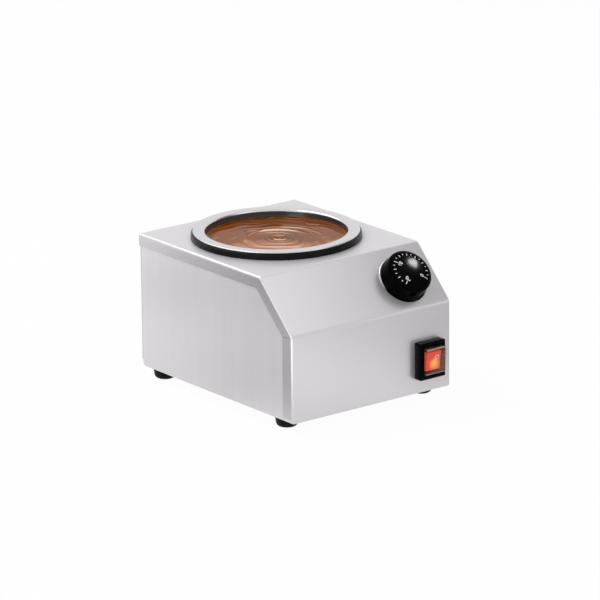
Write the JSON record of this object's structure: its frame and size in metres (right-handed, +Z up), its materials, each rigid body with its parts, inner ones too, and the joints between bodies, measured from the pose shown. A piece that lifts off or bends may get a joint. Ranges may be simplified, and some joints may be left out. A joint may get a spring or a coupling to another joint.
{
  "type": "chocolate melter",
  "caption": "Electric chocolate melter: sloped steel box with a lift-out round pan, thermostat dial, lit rocker switch and four rubber feet.",
  "frame": {"origin": "middle of the whole melter's bounding box, at the level of the feet", "axes": "+X to the right of a person facing the controls, front panel faces -Y, +Z up"},
  "size_m": [0.2, 0.2838, 0.158],
  "materials": {
    "folded_steel": "satin stainless sheet",
    "pan_steel": "spun stainless steel",
    "black_ring": "glossy black heat-resistant plastic",
    "foot_rubber": "matt black rubber",
    "dial_black": "glossy black moulding",
    "bezel_chrome": "bright plated",
    "switch_black": "satin black moulding",
    "clear_cap": "clear flexible moulding",
    "rocker_red": "translucent red moulding",
    "lamp_glass": "clear glass lamp",
    "plated_steel": "bright zinc plate",
    "well_aluminium": "spun aluminium",
    "heater_silicone": "red-brown silicone mat",
    "glass_fibre": "off-white glass fibre felt",
    "white_moulding": "cream electrical moulding",
    "brown_moulding": "brown phenolic moulding",
    "brass": "bare brass",
    "copper": "bare copper",
    "gland_black": "black nylon",
    "sleeve_nylon": "natural nylon",
    "black_wire": "black silicone insulation",
    "red_wire": "red silicone insulation",
    "earth_green": "green silicone insulation"
  },
  "bodies": {
    "body": {"top_cover": "folded_steel", "chassis": "folded_steel", "rear_panel": "folded_steel", "pan_ring": "black_ring", "foot_front_left": "foot_rubber", "foot_front_right": "foot_rubber", "foot_rear_left": "foot_rubber", "foot_rear_right": "foot_rubber", "foot_washers": "plated_steel", "foot_screws": "plated_steel", "foot_nuts": "plated_steel", "front_lip_screws": "plated_steel", "cover_screws": "plated_steel", "rear_panel_screws": "plated_steel", "heating_well": "well_aluminium", "well_studs": "plated_steel", "well_spacers": "well_aluminium", "well_nuts": "plated_steel", "heater_pad": "heater_silicone", "heater_plate": "well_aluminium", "heater_stud": "plated_steel", "heater_nut": "plated_steel", "insulation_jacket": "glass_fibre", "thermal_cutout": "brown_moulding", "cutout_screws": "plated_steel", "sensor_bulb": "copper", "bulb_clip": "plated_steel", "capillary_tube": "copper", "thermostat_body": "white_moulding", "thermostat_plate": "plated_steel", "thermostat_screws": "plated_steel", "thermostat_terminals": "brass", "dial_bezel": "bezel_chrome", "switch_frame": "switch_black", "switch_cap": "clear_cap", "switch_housing": "switch_black", "switch_terminals": "brass", "switch_lamp": "lamp_glass", "gland_body": "gland_black", "gland_locknut": "gland_black", "gland_seal": "foot_rubber", "gland_nut": "gland_black", "terminal_block": "white_moulding", "terminal_screws": "brass", "block_screws": "plated_steel", "earth_stud": "brass", "earth_nut": "brass", "switch_sleeves": "sleeve_nylon", "thermostat_sleeves": "sleeve_nylon", "cutout_sleeves": "sleeve_nylon", "supply_wires": "black_wire", "switched_wire": "red_wire", "heater_wires": "red_wire", "earth_wire": "earth_green"},
    "pan": {"melting_pan": "pan_steel"},
    "dial": {"dial_knob": "dial_black", "thermostat_shaft": "brass"},
    "rocker": {"switch_rocker": "rocker_red"}
  },
  "joints": [
    {"name": "pan_lift", "type": "slide", "parent": "body", "child": "pan", "axis": [0, 0, 1], "range_m": [0, 0.12]},
    {"name": "dial_turn", "type": "hinge", "parent": "body", "child": "dial", "pos_m": [0.058, -0.10365, 0.1235], "axis": [0, -0.7071, 0.7071], "range_deg": [-135, 135]},
    {"name": "rocker_tilt", "type": "hinge", "parent": "body", "child": "rocker", "pos_m": [0.0706, -0.12945, 0.0453], "axis": [1, 0, 0], "range_deg": [-14, 0]}
  ]
}
